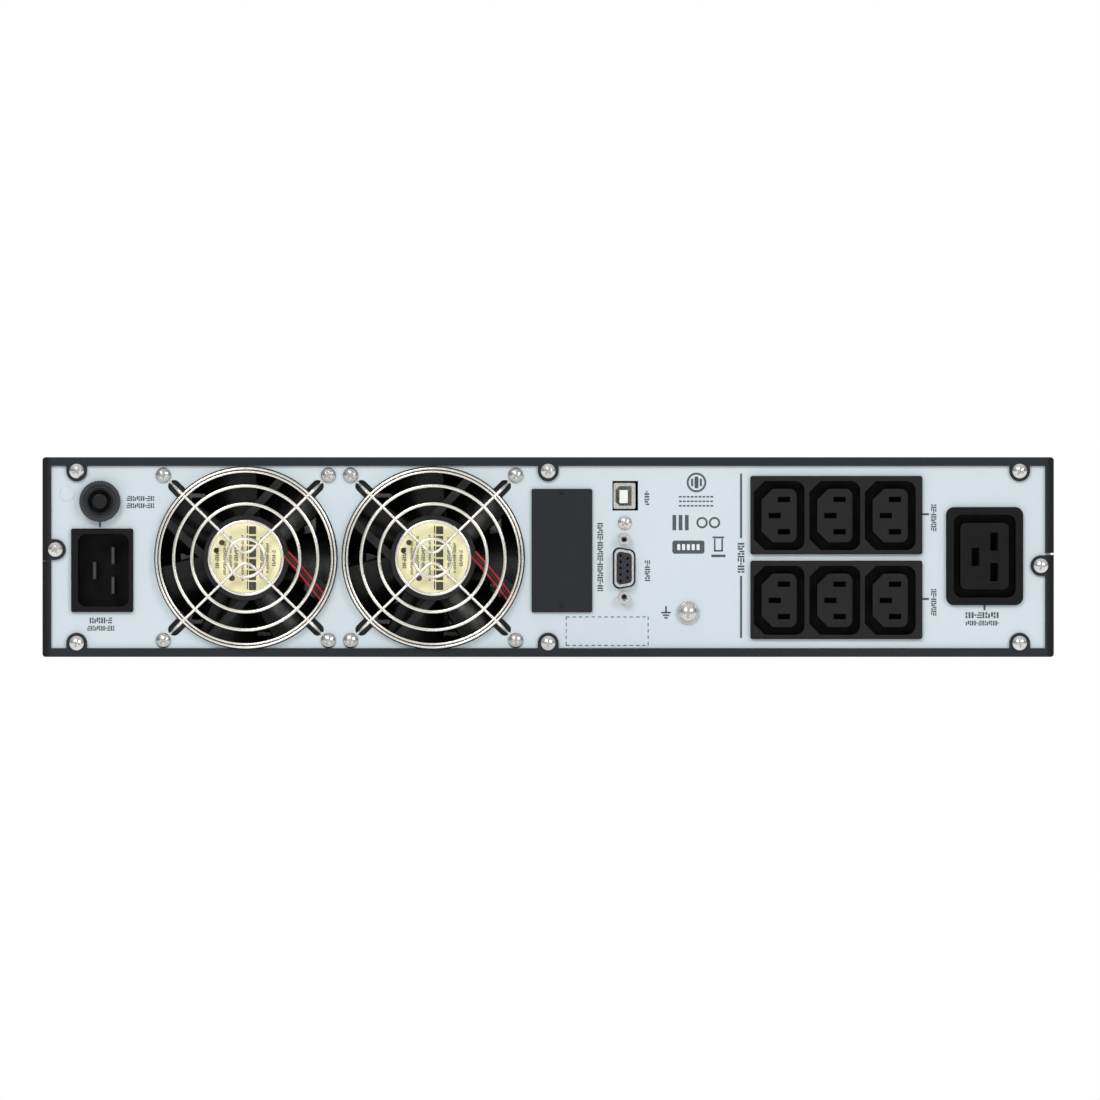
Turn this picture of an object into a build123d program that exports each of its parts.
"""A 2U uninterruptible power supply for a rack or a desk-side stand.

Millimetres. +Z is up, the connector face looks towards -Y, the display and the battery drawer face +Y,
and +X is to the right for someone who faces the connectors. The origin is on the supporting plane,
under the middle of the case. A case half, a panel, a socket and each loose piece is its own solid.
"""

import os
from math import atan2, cos, degrees, radians, sin, tan

from build123d import *

os.makedirs("parts", exist_ok=True)

# ---------------------------------------------------------------- driving dimensions

# Case
CASE_WIDTH = 438.0
CASE_HEIGHT = 86.5
SHEET = 1.2
BEND_RADIUS = 1.4
LIP_Y = -300.0  # outer face of the lips round the connector panel
CASE_FRONT_Y = 272.0
LIP_WIDTH = 3.8
SEAM_Z = {-1: 41.5, 1: 44.6}  # seam between the case halves, on the left and right sides
SEAM_GAP = {-1: 0.06, 1: 0.8}

# Screw ears round the connector panel
EAR_RADIUS = 4.5
EAR_X = (-204.2, 0.0, 204.2)
EAR_INSET = 6.0  # ear screws from the top and bottom edges
SIDE_EAR_INSET = 5.6
LEFT_EAR_Z = 46.5
RIGHT_EAR_Z = 39.5

# Connector panel
PANEL_Y = LIP_Y + SHEET
PANEL_BACK_Y = PANEL_Y + SHEET
SOCKET_PROUD = 2.0

# Mains inlet
INLET_CENTRE = (-193.15, 37.5)
INLET_FLANGE = (26.9, 36.2)
INLET_WELL = (22.0, 31.5)
INLET_WELL_X = -192.6

# Circuit breaker
BREAKER_CENTRE = (-194.1, 67.4)
BREAKER_NUT_RADIUS = 8.95
BREAKER_NECK_RADIUS = 5.6
BREAKER_BUTTON_RADIUS = 3.25
BREAKER_TRAVEL = 4.2
RUNNING_FIT = 0.05  # radial clearance of a shaft in its hole

# Fans
FAN_X = (-130.9, -49.8)
FAN_Z = 42.9
FAN_SIZE = 80.0
FAN_DEPTH = 25.0
FAN_DUCT_RADIUS = 38.2
FAN_SCREW_PITCH = 71.5
FAN_HUB_RADIUS = 18.5
FAN_BLADES = 7
OUTER_RING_RADII = (38.75, 37.35)
OUTER_WIRE_RADIUS = 0.5
INNER_RING_RADII = (31.2, 23.45, 15.85, 8.25)
INNER_WIRE_RADIUS = 0.75
WELD_DEPTH = 0.3  # how far the rings sink into the ribs at the welds
RIB_WIRE_RADIUS = 0.7
EYELET_THICKNESS = 1.2
FAN_WINDOW_RADIUS = 39.75
FAN_SLOT_WIDTH = 5.3
FAN_SLOT_REACH = 46.6

# Expansion slot
SLOT_COVER_X = (-7.2, 19.1)
SLOT_COVER_Z = (19.3, 72.8)
SLOT_SCREW_X = 5.6
SLOT_SCREW_Z = (21.9, 70.6)

# Communication ports
USB_CENTRE = (33.05, 69.75)
USB_SIZE = (9.5, 11.2)
USB_CUT_CENTRE = (33.4, 69.8)
USB_CUT_SIZE = (11.0, 12.8)
USB_MOUTH_CENTRE = (32.65, 69.75)
USB_MOUTH_SIZE = (6.9, 8.5)
PORT_SCREW = (33.2, 58.1)
SERIAL_CENTRE = (32.9, 38.45)
SERIAL_CUT = (9.9, 19.0)  # width and height of the D-shaped cut-out, shell and insert
SERIAL_SHELL = (8.4, 17.4)
SERIAL_INSERT = (6.4, 14.7)
JACK_NUT_Z = (25.7, 51.2)
GROUND_SCREW = (60.6, 19.2)

# Outlets
BLOCK_CENTRE_X = 124.8
BLOCK_SIZE = (74.5, 34.0)
BLOCK_Z = {"lower": 24.7, "upper": 61.4}
OUTLET_X = (100.0, 124.1, 148.1)
OUTLET_DROP = 0.2  # outlets sit this far under the middle of their block
HIGH_OUTLET_CENTRE = (189.0, 43.65)
HIGH_OUTLET_SIZE = (33.4, 42.5)

# Battery drawer
DRAWER_X = (-208.8, 87.5)
DRAWER_Y = (-44.0, 262.0)
DRAWER_Z = 1.6
BATTERY_SIZE = (94.0, 151.0, 65.0)
BATTERY_PITCH = (98.1, 152.2)

# Front
DOOR_X = (-219.0, 88.4)
BEZEL_X = (88.9, 219.0)
FRONT_Y = 300.0
FRONT_Z = (0.5, 86.0)
FRONT_WALL = 2.6
LOUVRE_PITCH = 6.0
DISPLAY_CENTRE = (154.0, 43.25)
DISPLAY_RADIUS = 37.0
DISPLAY_FACE_Y = 301.5
BUTTON_SIZE = (9.0, 5.0)
BUTTON_PITCH = 12.0
BUTTON_DROP = 18.0
BUTTON_NAMES = ("button_escape", "button_up", "button_down", "button_enter")

# Rack ears bolt to four holes on each side of the case
EAR_HOLE_RADIUS = 2.0
EAR_HOLE_Y = (232.0, 256.0)
EAR_HOLE_Z = (22.0, 66.0)

SCREW_SHANK_RADIUS = 1.9
SCREW_HOLE_RADIUS = 2.05


# ---------------------------------------------------------------- helpers


def rear_plane(y):
    """Upright plane at y, drawn as seen from behind: local x is X and local y is Z."""
    return Plane.XZ.offset(-y)


def save(piece, name):
    """Label a finished piece and write its STEP file."""
    piece.part.label = name
    export_step(piece.part, f"parts/{name}.step")


def span_box(low, high, mode=Mode.ADD):
    """Box between two opposite corners, in the part being built."""
    size = [b - a for a, b in zip(low, high)]
    middle = [(a + b) / 2 for a, b in zip(low, high)]
    with Locations(tuple(middle)):
        Box(*size, mode=mode)


def cut_cross(reach, top_y, depth):
    """Cross recess of the given reach in the screw being built, sunk from top_y."""
    width = 0.45 * reach
    with BuildSketch(rear_plane(top_y)) as cross:
        Rectangle(2 * reach, width)
        Rectangle(width, 2 * reach)
    extrude(cross.sketch, amount=-depth, mode=Mode.SUBTRACT)


def domed_screw(head_radius, head_height, shank_radius, shank_length):
    """Cross-recessed screw with a domed head, seated at the origin with its shank along +Y."""
    rim = 0.3 * head_height
    shoulder = (0.7 * head_radius, -rim - 0.53 * (head_height - rim))
    with BuildPart() as screw:
        with BuildSketch(Plane.XY):
            with BuildLine():
                Polyline((0, shank_length), (shank_radius, shank_length), (shank_radius, 0), (head_radius, 0))
                Line((head_radius, 0), (head_radius, -rim))
                ThreePointArc((head_radius, -rim), shoulder, (0, -head_height))
                Line((0, -head_height), (0, shank_length))
            make_face()
        revolve(axis=Axis.Y)
        cut_cross(0.55 * head_radius, -head_height, 0.6 * head_height)
    return screw.part


def flush_screw(radius, length):
    """Cross-recessed screw that ends flush with its surface, along +Y from the origin."""
    with BuildPart() as screw:
        with BuildSketch(rear_plane(0)):
            Circle(radius)
        extrude(amount=-length)
        cut_cross(0.7 * radius, 0, 0.6 * radius)
    return screw.part


def screw_group(screw, spots, y, first_turn=20):
    """The same screw at several (x, z) spots, each turned a little further than the last."""
    with BuildPart() as group:
        for index, (x, z) in enumerate(spots):
            with Locations((x, y, z)):
                add(screw, rotation=(0, first_turn + 37 * index, 0))
    return group


def wire(points, radii, radius):
    """Round wire along straight runs joined by arcs."""
    with BuildPart() as strand:
        with BuildLine() as route:
            FilletPolyline(*points, radius=radii)
        with BuildSketch(Plane(origin=route.line @ 0, z_dir=route.line % 0)):
            Circle(radius)
        sweep()
    return strand.part


# ---------------------------------------------------------------- case

EAR_SPOTS = [(x, z) for x in EAR_X for z in (EAR_INSET, CASE_HEIGHT - EAR_INSET)]
SIDE_EAR_X = CASE_WIDTH / 2 - SIDE_EAR_INSET
SIDE_EAR_SPOTS = [(-SIDE_EAR_X, LEFT_EAR_Z), (SIDE_EAR_X, RIGHT_EAR_Z)]
SIDE_SCREW_Y = (-255.0, -60.0, 150.0)
SIDE_SCREW_Z = 62.0
VENT_Y = 60.0
VENT_COUNT = 12


def case_outline(wall):
    """Outline of the closed case section, with walls of the given thickness, in the sketch being drawn."""
    with Locations((0, CASE_HEIGHT / 2)):
        RectangleRounded(CASE_WIDTH, CASE_HEIGHT, BEND_RADIUS)
        Rectangle(CASE_WIDTH - 2 * wall, CASE_HEIGHT - 2 * wall, mode=Mode.SUBTRACT)


def lip_ears():
    """Half-round ears that carry the panel screws, in the sketch being drawn."""
    for x, z in EAR_SPOTS:
        edge = 0 if z < CASE_HEIGHT / 2 else CASE_HEIGHT
        reach = abs(edge - z) - SHEET
        middle = z + (edge - z) / abs(edge - z) * reach / 2
        with Locations((x, z)):
            Circle(EAR_RADIUS)
        with Locations((x, middle)):
            Rectangle(2 * EAR_RADIUS, reach)
    for x, z in SIDE_EAR_SPOTS:
        side = 1 if x > 0 else -1
        reach = SIDE_EAR_INSET - SHEET
        with Locations((x, z)):
            Circle(EAR_RADIUS)
        with Locations((x + side * reach / 2, z)):
            Rectangle(reach, 2 * EAR_RADIUS)


def case_shell():
    """Whole case with its rear lips, before it is parted at the seam."""
    with BuildPart() as shell:
        with BuildSketch(rear_plane(PANEL_Y)):
            case_outline(SHEET)
        extrude(amount=PANEL_Y - CASE_FRONT_Y)
        with BuildSketch(rear_plane(LIP_Y)):
            case_outline(LIP_WIDTH)
            lip_ears()
        extrude(amount=-SHEET)
        with BuildSketch(rear_plane(LIP_Y)):
            with Locations(*EAR_SPOTS, *SIDE_EAR_SPOTS):
                Circle(SCREW_HOLE_RADIUS)
        extrude(amount=-SHEET, mode=Mode.SUBTRACT)
        with BuildSketch(Plane.YZ.offset(-CASE_WIDTH / 2)):
            with Locations(*[(y, z) for y in EAR_HOLE_Y for z in EAR_HOLE_Z]):
                Circle(EAR_HOLE_RADIUS)
            with Locations(*[(y, SIDE_SCREW_Z) for y in SIDE_SCREW_Y]):
                Circle(SCREW_HOLE_RADIUS)
            with Locations((VENT_Y, SIDE_SCREW_Z)):
                with GridLocations(7.0, 1, VENT_COUNT, 1):
                    SlotOverall(24.0, 3.0, rotation=90)
        extrude(amount=CASE_WIDTH, mode=Mode.SUBTRACT)
    return shell.part


def part_at_seam(shell, keep_lower):
    """One half of the case: the tray below the seam, or the cover above it."""
    with BuildPart() as half:
        add(shell)
        for side, seam in SEAM_Z.items():
            across = sorted((0, side * CASE_WIDTH))
            if keep_lower:
                heights = (seam - SEAM_GAP[side] / 2, 2 * CASE_HEIGHT)
            else:
                heights = (-CASE_HEIGHT, seam + SEAM_GAP[side] / 2)
            span_box(
                (across[0], 2 * LIP_Y, heights[0]),
                (across[1], 2 * CASE_FRONT_Y, heights[1]),
                mode=Mode.SUBTRACT,
            )
    return half


whole_case = case_shell()
chassis_tray = part_at_seam(whole_case, keep_lower=True)
save(chassis_tray, "chassis_tray")
top_cover = part_at_seam(whole_case, keep_lower=False)
save(top_cover, "top_cover")

case_screw = domed_screw(3.15, 2.2, SCREW_SHANK_RADIUS, 8.0)
case_screws = screw_group(case_screw, EAR_SPOTS + SIDE_EAR_SPOTS, LIP_Y)
save(case_screws, "case_screws")

side_screw = flush_screw(SCREW_SHANK_RADIUS, 6.0)
with BuildPart() as side_screws:
    for side in (-1, 1):
        with Locations(*[(side * CASE_WIDTH / 2, y, SIDE_SCREW_Z) for y in SIDE_SCREW_Y]):
            add(side_screw, rotation=(0, 0, side * 90))
save(side_screws, "side_screws")


# ---------------------------------------------------------------- connector panel


def fan_window(x, z):
    """Fan hole with a slot towards each corner, in the sketch being drawn."""
    with Locations((x, z)):
        Circle(FAN_WINDOW_RADIUS)
        for turn in (45, 135):
            SlotOverall(2 * FAN_SLOT_REACH, FAN_SLOT_WIDTH, rotation=turn)


FAN_CENTRES = [(x, FAN_Z) for x in FAN_X]
HALF_PITCH = FAN_SCREW_PITCH / 2
FAN_CORNERS = [(dx, dz) for dx in (-HALF_PITCH, HALF_PITCH) for dz in (-HALF_PITCH, HALF_PITCH)]
FAN_SCREW_SPOTS = [(x + dx, FAN_Z + dz) for x in FAN_X for dx, dz in FAN_CORNERS]
JACK_SPOTS = [(SERIAL_CENTRE[0], z) for z in JACK_NUT_Z]
SLOT_SCREW_SPOTS = [(SLOT_SCREW_X, z) for z in SLOT_SCREW_Z]
M3_HOLE_RADIUS = 1.6
SLOT_HOLE_RADIUS = 1.1
CARD_WINDOW = (21.0, 41.0)  # opening behind the expansion slot's cover
PANEL_MARGIN = 0.2
BLOCK_BODY = (BLOCK_SIZE[0] - 2.0, BLOCK_SIZE[1] - 1.6)
INLET_BODY = (INLET_FLANGE[0] - 2.4, INLET_FLANGE[1] - 2.2)
HIGH_OUTLET_BODY = (HIGH_OUTLET_SIZE[0] - 2.4, HIGH_OUTLET_SIZE[1] - 2.4)
CUT_CLEARANCE = 0.3


def d_outline(size, radius):
    """D shape of a nine-way port, its long side at the left, in the sketch being drawn."""
    width, height = size
    short = height / 2 - width * tan(radians(10))
    points = [(-width / 2, height / 2), (width / 2, short), (width / 2, -short), (-width / 2, -height / 2)]
    with BuildSketch(mode=Mode.PRIVATE) as outline:
        with BuildLine():
            Polyline(*points, close=True)
        make_face()
        fillet(outline.vertices(), radius)
    with Locations(SERIAL_CENTRE):
        add(outline.sketch)


with BuildPart() as rear_panel:
    with BuildSketch(rear_plane(PANEL_Y)):
        with Locations((0, CASE_HEIGHT / 2)):
            Rectangle(CASE_WIDTH - 2 * (SHEET + PANEL_MARGIN), CASE_HEIGHT - 2 * (SHEET + PANEL_MARGIN))
    extrude(amount=-SHEET)
    with BuildSketch(rear_plane(PANEL_Y)):
        for centre in FAN_CENTRES:
            fan_window(*centre)
        with Locations(*EAR_SPOTS, *SIDE_EAR_SPOTS, *FAN_SCREW_SPOTS):
            Circle(SCREW_HOLE_RADIUS)
        with Locations(BREAKER_CENTRE):
            Circle(BREAKER_NECK_RADIUS + CUT_CLEARANCE / 2)
        with Locations(INLET_CENTRE):
            Rectangle(INLET_BODY[0] + CUT_CLEARANCE, INLET_BODY[1] + CUT_CLEARANCE)
        with Locations((SLOT_SCREW_X, sum(SLOT_SCREW_Z) / 2)):
            Rectangle(*CARD_WINDOW)
        with Locations(*SLOT_SCREW_SPOTS):
            Circle(SLOT_HOLE_RADIUS)
        with Locations(USB_CUT_CENTRE):
            Rectangle(*USB_CUT_SIZE)
        d_outline(SERIAL_CUT, 2.8)
        with Locations(*JACK_SPOTS, PORT_SCREW):
            Circle(M3_HOLE_RADIUS)
        with Locations(GROUND_SCREW):
            Circle(SCREW_HOLE_RADIUS)
        with Locations(*[(BLOCK_CENTRE_X, z) for z in BLOCK_Z.values()]):
            Rectangle(BLOCK_BODY[0] + CUT_CLEARANCE, BLOCK_BODY[1] + CUT_CLEARANCE)
        with Locations(HIGH_OUTLET_CENTRE):
            Rectangle(HIGH_OUTLET_BODY[0] + CUT_CLEARANCE, HIGH_OUTLET_BODY[1] + CUT_CLEARANCE)
    extrude(amount=-SHEET, mode=Mode.SUBTRACT)
save(rear_panel, "rear_panel")


# ---------------------------------------------------------------- mains inlet and breaker

INLET_DEPTH = 24.0
WELL_DEPTH = 17.0
PIN_THICKNESS = 2.0
PIN_HEIGHT = 8.0
PIN_RECESS = 4.5
PIN_TAIL = 7.0  # length of the pins behind the housing
INLET_PINS = [(-188.6, 30.9), (-188.6, 43.9), (-196.6, 37.4)]
SOCKET_FACE_Y = PANEL_Y - SOCKET_PROUD

with BuildPart() as inlet_socket:
    with BuildSketch(rear_plane(PANEL_Y)):
        with Locations(INLET_CENTRE):
            RectangleRounded(*INLET_FLANGE, 0.8)
    extrude(amount=SOCKET_PROUD)
    chamfer(inlet_socket.faces().sort_by(Axis.Y)[0].edges(), 0.5)
    with BuildSketch(rear_plane(PANEL_Y)):
        with Locations(INLET_CENTRE):
            Rectangle(*INLET_BODY)
    extrude(amount=-INLET_DEPTH)
    with BuildSketch(rear_plane(SOCKET_FACE_Y)):
        with Locations((INLET_WELL_X, INLET_CENTRE[1])):
            RectangleRounded(*INLET_WELL, 3.5)
    extrude(amount=-WELL_DEPTH, mode=Mode.SUBTRACT)
    with BuildSketch(rear_plane(PANEL_Y)):
        with Locations(*INLET_PINS):
            Rectangle(PIN_THICKNESS, PIN_HEIGHT)
    extrude(amount=-INLET_DEPTH, mode=Mode.SUBTRACT)
save(inlet_socket, "inlet_socket")

with BuildPart() as inlet_pins:
    with BuildSketch(rear_plane(SOCKET_FACE_Y + PIN_RECESS)):
        with Locations(*INLET_PINS):
            Rectangle(PIN_THICKNESS, PIN_HEIGHT)
    extrude(amount=-(INLET_DEPTH + SOCKET_PROUD - PIN_RECESS + PIN_TAIL))
    chamfer(inlet_pins.faces().group_by(Axis.Y)[0].edges(), 0.5)
save(inlet_pins, "inlet_pins")

NECK_END_Y = PANEL_Y - 4.1
BREAKER_SIZE = (15.5, 24.0)
GUIDE_Y = (-296.0, -293.0)  # wall of the breaker that guides its button
BREAKER_BACK_Y = -270.0
SPRING_CHAMBER = 17.0  # length of the hollow that the button's collar moves in
BUTTON_COLLAR_Y = (-288.5, -286.5)
BUTTON_COLLAR_RADIUS = 4.6
BUTTON_TIP_Y = -304.5
NECK_BORE_RADIUS = 5.0
NUT_THICKNESS = 3.6
NUT_STEP_RADIUS = 7.2
NUT_STEP_DEPTH = 0.9

with BuildPart() as breaker_body:
    with BuildSketch(rear_plane(PANEL_BACK_Y)):
        with Locations(BREAKER_CENTRE):
            Rectangle(*BREAKER_SIZE)
    extrude(amount=PANEL_BACK_Y - BREAKER_BACK_Y)
    with BuildSketch(rear_plane(NECK_END_Y)):
        with Locations(BREAKER_CENTRE):
            Circle(BREAKER_NECK_RADIUS)
    extrude(amount=NECK_END_Y - PANEL_BACK_Y)
    with BuildSketch(rear_plane(NECK_END_Y)):
        with Locations(BREAKER_CENTRE):
            Circle(NECK_BORE_RADIUS)
    extrude(amount=NECK_END_Y - GUIDE_Y[0], mode=Mode.SUBTRACT)
    with BuildSketch(rear_plane(GUIDE_Y[0])):
        with Locations(BREAKER_CENTRE):
            Circle(BREAKER_BUTTON_RADIUS + RUNNING_FIT)
    extrude(amount=GUIDE_Y[0] - GUIDE_Y[1], mode=Mode.SUBTRACT)
    with BuildSketch(rear_plane(GUIDE_Y[1])):
        with Locations(BREAKER_CENTRE):
            Circle(NECK_BORE_RADIUS + 0.2)
    extrude(amount=-SPRING_CHAMBER, mode=Mode.SUBTRACT)
save(breaker_body, "breaker_body")

with BuildPart() as breaker_nut:
    with BuildSketch(rear_plane(PANEL_Y)):
        with Locations(BREAKER_CENTRE):
            Circle(BREAKER_NUT_RADIUS)
            Circle(BREAKER_NECK_RADIUS + RUNNING_FIT, mode=Mode.SUBTRACT)
            with PolarLocations(BREAKER_NUT_RADIUS, 40):
                Circle(0.25, mode=Mode.SUBTRACT)
    extrude(amount=NUT_THICKNESS)
    with BuildSketch(rear_plane(PANEL_Y - NUT_THICKNESS)):
        with Locations(BREAKER_CENTRE):
            Circle(NUT_STEP_RADIUS)
    extrude(amount=-NUT_STEP_DEPTH, mode=Mode.SUBTRACT)
save(breaker_nut, "breaker_nut")

with BuildPart() as breaker_button:
    with BuildSketch(rear_plane(BUTTON_COLLAR_Y[1])):
        with Locations(BREAKER_CENTRE):
            Circle(BREAKER_BUTTON_RADIUS)
    extrude(amount=BUTTON_COLLAR_Y[1] - BUTTON_TIP_Y)
    fillet(breaker_button.edges().sort_by(Axis.Y)[0], 0.6)
    with BuildSketch(rear_plane(BUTTON_COLLAR_Y[1])):
        with Locations(BREAKER_CENTRE):
            Circle(BUTTON_COLLAR_RADIUS)
    extrude(amount=BUTTON_COLLAR_Y[1] - BUTTON_COLLAR_Y[0])
save(breaker_button, "breaker_button")


# ---------------------------------------------------------------- fans

FAN_Y = PANEL_BACK_Y + 2 * RIB_WIRE_RADIUS  # the guard's wire lies between panel and fan
FAN_FRONT_Y = FAN_Y + FAN_DEPTH
FLANGE_DEPTH = 4.0
BARREL_RADIUS = FAN_SIZE / 2 - 0.2
BOSS_RADIUS = 4.2
FAN_HOLE_RADIUS = 2.15
HUB_PLATE_Y = (FAN_Y + 0.6, FAN_Y + 3.6)
ARM_Y = (FAN_Y + 1.6, FAN_Y + 4.2)
ARM_WIDTH = 3.5
ARM_ANGLES = (2, 90, 180, 270)
ARM_LEAN = 25  # each arm meets the duct this far round from where it leaves the hub
TUBE_END_Y = -277.0
SHAFT_HOLE_RADIUS = 3.0
TUBE_RADIUS = 5.0  # tube that carries the stator and the shaft
LEAD_START = (20.4, -1.6)  # places on the leads' way, from the fan's axis
LEAD_ENTRY = (33.1, -17.1)
LEAD_EXIT = (36.6, -23.5)
LEAD_OFFSETS = (-1.3, 0.0, 1.3)
LEAD_RADIUS = 0.6
LEAD_Y = FAN_Y + 0.8
LEAD_HOLE_RADIUS = 2.0
LEAD_NOTCH = (9.0, 4.0)
LEAD_NOTCH_SPOT = (34.6, -20.0)
LEAD_NOTCH_DEPTH = 2.4
FAN_CORNER_RADIUS = 4.0


def fan_frame(x):
    """Square frame with its duct, the four arms and the plate that carries the motor."""
    with BuildPart() as frame:
        for start in (FAN_Y, FAN_FRONT_Y - FLANGE_DEPTH):
            with BuildSketch(rear_plane(start)):
                with Locations((x, FAN_Z)):
                    RectangleRounded(FAN_SIZE, FAN_SIZE, FAN_CORNER_RADIUS)
            extrude(amount=-FLANGE_DEPTH)
        with BuildSketch(rear_plane(FAN_Y)):
            with Locations((x, FAN_Z)):
                Circle(BARREL_RADIUS)
            with Locations(*[(x + dx, FAN_Z + dz) for dx, dz in FAN_CORNERS]):
                Circle(BOSS_RADIUS)
        extrude(amount=-FAN_DEPTH)
        with BuildSketch(rear_plane(FAN_Y)):
            with Locations((x, FAN_Z)):
                Circle(FAN_DUCT_RADIUS)
            with Locations(*[(x + dx, FAN_Z + dz) for dx, dz in FAN_CORNERS]):
                Circle(FAN_HOLE_RADIUS)
            with Locations((x + LEAD_EXIT[0], FAN_Z + LEAD_EXIT[1])):
                Circle(LEAD_HOLE_RADIUS)
        extrude(amount=-FAN_DEPTH, mode=Mode.SUBTRACT)
        with BuildSketch(rear_plane(FAN_Y)):
            with Locations((x + LEAD_NOTCH_SPOT[0], FAN_Z + LEAD_NOTCH_SPOT[1])):
                Rectangle(*LEAD_NOTCH, rotation=-61)
        extrude(amount=-LEAD_NOTCH_DEPTH, mode=Mode.SUBTRACT)
        with BuildSketch(rear_plane(HUB_PLATE_Y[0])):
            with Locations((x, FAN_Z)):
                Circle(FAN_HUB_RADIUS)
        extrude(amount=HUB_PLATE_Y[0] - HUB_PLATE_Y[1])
        with BuildSketch(rear_plane(ARM_Y[0])):
            for angle in ARM_ANGLES:
                start = Vector(FAN_HUB_RADIUS - 1, 0).rotate(Axis.Z, angle)
                end = Vector(FAN_DUCT_RADIUS + 0.8, 0).rotate(Axis.Z, angle - ARM_LEAN)
                run = end - start
                middle = (start + end) / 2
                with Locations((x + middle.X, FAN_Z + middle.Y)):
                    Rectangle(run.length, ARM_WIDTH, rotation=degrees(atan2(run.Y, run.X)))
        extrude(amount=ARM_Y[0] - ARM_Y[1])
        with BuildSketch(rear_plane(HUB_PLATE_Y[1])):
            with Locations((x, FAN_Z)):
                Circle(TUBE_RADIUS)
        extrude(amount=HUB_PLATE_Y[1] - TUBE_END_Y)
        with BuildSketch(rear_plane(HUB_PLATE_Y[0] + 1.0)):
            with Locations((x, FAN_Z)):
                Circle(SHAFT_HOLE_RADIUS)
        extrude(amount=HUB_PLATE_Y[0] + 1.0 - TUBE_END_Y, mode=Mode.SUBTRACT)
    return frame


CUP_Y = (-291.4, FAN_FRONT_Y - 0.8)
CUP_RADIUS = 18.0
CUP_WALL = 1.5
BLADE_Y = (-290.0, -273.6)
BLADE_TIP_RADIUS = 36.9
BLADE_THICKNESS = 1.5
ROOT_PITCH = 38.0  # blade angle from the plane of rotation, at the hub and at the tip
TIP_PITCH = 27.0


def blade_section(radius, pitch):
    """Curved section of a fan blade, on the plane square to its radius."""
    rise = BLADE_Y[1] - BLADE_Y[0] - 2 * BLADE_THICKNESS
    half_chord = rise / 2 / sin(radians(pitch))
    camber = 0.12 * half_chord
    middle_y = sum(BLADE_Y) / 2
    along = (0, sin(radians(pitch)), cos(radians(pitch)))
    plane = Plane(origin=(radius, middle_y, 0), x_dir=along, z_dir=(1, 0, 0))
    with BuildSketch(plane) as section:
        with BuildLine():
            outer = ThreePointArc((-half_chord, 0), (0, camber + BLADE_THICKNESS), (half_chord, 0))
            inner = ThreePointArc((-half_chord, -BLADE_THICKNESS), (0, camber), (half_chord, -BLADE_THICKNESS))
            Line(outer @ 0, inner @ 0)
            Line(outer @ 1, inner @ 1)
        make_face()
    return section.sketch.face()


def fan_blade():
    """One blade of the impeller, trimmed to the hub and to the duct."""
    root = blade_section(CUP_RADIUS - 3, ROOT_PITCH)
    tip = blade_section(FAN_DUCT_RADIUS + 2, TIP_PITCH)
    with BuildPart() as blade:
        loft(sections=[root, tip])
        with BuildSketch(rear_plane(BLADE_Y[0])):
            Circle(BLADE_TIP_RADIUS)
            Circle(CUP_RADIUS - 0.6, mode=Mode.SUBTRACT)
        extrude(amount=BLADE_Y[0] - BLADE_Y[1], mode=Mode.INTERSECT)
    return blade.part


def fan_rotor(x, blade):
    """Impeller: motor cup, shaft and blades in one."""
    with BuildPart() as rotor:
        with BuildSketch(rear_plane(CUP_Y[0])):
            with Locations((x, FAN_Z)):
                Circle(CUP_RADIUS)
        extrude(amount=CUP_Y[0] - CUP_Y[1])
        fillet(rotor.edges().sort_by(Axis.Y)[-1], 1.0)
        with BuildSketch(rear_plane(CUP_Y[0])):
            with Locations((x, FAN_Z)):
                Circle(CUP_RADIUS - CUP_WALL)
        extrude(amount=CUP_Y[0] - CUP_Y[1] + CUP_WALL, mode=Mode.SUBTRACT)
        with BuildSketch(rear_plane(HUB_PLATE_Y[0] + 1.6)):
            with Locations((x, FAN_Z)):
                Circle(SHAFT_HOLE_RADIUS - RUNNING_FIT)
        extrude(amount=HUB_PLATE_Y[0] + 1.6 - CUP_Y[1] + CUP_WALL / 2)
        with Locations((x, 0, FAN_Z)):
            for index in range(FAN_BLADES):
                add(blade, rotation=(0, index * 360 / FAN_BLADES, 0))
    return rotor


RIB_Y = PANEL_Y - 2.1
FOOT_Y = PANEL_BACK_Y + RIB_WIRE_RADIUS
RIB_HALF = [(1.9 - HALF_PITCH, FOOT_Y), (3.6 - HALF_PITCH, FOOT_Y), (-29.0, RIB_Y)]
RIB_BEND = 0.8  # the ribs bow apart this far at the middle
EYELET_RADII = (4.2, 2.3)
GUARD_RINGS = ((OUTER_RING_RADII, OUTER_WIRE_RADIUS), (INNER_RING_RADII, INNER_WIRE_RADIUS))


def fan_guard(x):
    """Wire guard: welded rings, two bent ribs behind them, and an eyelet at each screw."""
    ribs = []
    for side in (1, -1):
        points = [(x + a, y, FAN_Z - side * a) for a, y in RIB_HALF]
        points.append((x, RIB_Y, FAN_Z + side * RIB_BEND))
        points += [(x - a, y, FAN_Z - side * a) for a, y in reversed(RIB_HALF)]
        ribs.append(wire(points, [1.6, 2.0, 4.0, 2.0, 1.6], RIB_WIRE_RADIUS))
    with BuildPart() as guard:
        add(ribs)
        for radii, wire_radius in GUARD_RINGS:
            ring_y = RIB_Y - RIB_WIRE_RADIUS - wire_radius + WELD_DEPTH
            with Locations((x, ring_y, FAN_Z)):
                for radius in radii:
                    Torus(radius, wire_radius, rotation=(90, 0, 0))
        with BuildSketch(rear_plane(FOOT_Y - EYELET_THICKNESS / 2)):
            with Locations(*[(x + dx, FAN_Z + dz) for dx, dz in FAN_CORNERS]):
                Circle(EYELET_RADII[0])
                Circle(EYELET_RADII[1], mode=Mode.SUBTRACT)
        extrude(amount=-EYELET_THICKNESS)
    return guard


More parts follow.
